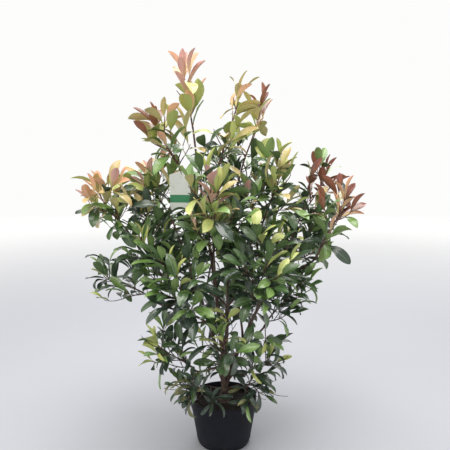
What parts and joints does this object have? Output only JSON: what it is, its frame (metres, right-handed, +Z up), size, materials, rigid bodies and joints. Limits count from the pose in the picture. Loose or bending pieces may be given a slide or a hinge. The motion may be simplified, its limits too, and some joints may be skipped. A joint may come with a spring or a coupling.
{
  "type": "photinia red robin shrub in a nursery pot",
  "caption": "Bushy evergreen shrub with upright forking stems, glossy pointed leaves and coppery young shoots, standing in a round tapered nursery pot.",
  "frame": {"origin": "middle of the pot's flat underside", "axes": "+Z up along the plant, +X to the right and -Y to the front as the plant is seen from the front"},
  "size_m": [1.0144, 0.7494, 1.4765],
  "materials": {
    "pot": "satin dark grey moulded plastic",
    "soil": "moist crumbly peat",
    "bark": "matt purplish-brown bark",
    "green_leaf": "glossy green leaves",
    "flush_leaf": "glossy coppery young leaves",
    "label": "plain white plastic card"
  },
  "bodies": {
    "root": {"bough_back_high": "bark", "bough_back_left": "bark", "bough_back_low": "bark", "bough_back_right": "bark", "bough_core_left": "bark", "bough_core_right": "bark", "bough_front_high": "bark", "bough_front_left": "bark", "bough_front_low": "bark", "bough_front_right": "bark", "bough_leader": "bark", "bough_left_flank": "bark", "bough_left_low": "bark", "bough_left_lower": "bark", "bough_left_outer": "bark", "bough_left_shoulder": "bark", "bough_left_upper": "bark", "bough_right_flank": "bark", "bough_right_low": "bark", "bough_right_lower": "bark", "bough_right_mid": "bark", "bough_right_outer": "bark", "bough_right_red": "bark", "bough_right_tall": "bark", "bough_right_upper": "bark", "bough_skirt_back": "bark", "bough_skirt_left": "bark", "bough_skirt_right": "bark", "label": "label", "leaves_back_high": "green_leaf", "leaves_back_left": "green_leaf", "leaves_back_low": "green_leaf", "leaves_back_right": "green_leaf", "leaves_core_left": "green_leaf", "leaves_core_right": "green_leaf", "leaves_front_high": "green_leaf", "leaves_front_left": "green_leaf", "leaves_front_low": "green_leaf", "leaves_front_right": "green_leaf", "leaves_leader": "flush_leaf", "leaves_left_flank": "green_leaf", "leaves_left_low": "green_leaf", "leaves_left_lower": "green_leaf", "leaves_left_outer": "flush_leaf", "leaves_left_shoulder": "green_leaf", "leaves_left_upper": "flush_leaf", "leaves_right_flank": "green_leaf", "leaves_right_low": "green_leaf", "leaves_right_lower": "green_leaf", "leaves_right_mid": "green_leaf", "leaves_right_outer": "flush_leaf", "leaves_right_red": "flush_leaf", "leaves_right_tall": "flush_leaf", "leaves_right_upper": "flush_leaf", "leaves_skirt_back": "green_leaf", "leaves_skirt_left": "green_leaf", "leaves_skirt_right": "green_leaf", "pot": "pot", "soil": "soil", "trunk": "bark"}
  },
  "joints": []
}
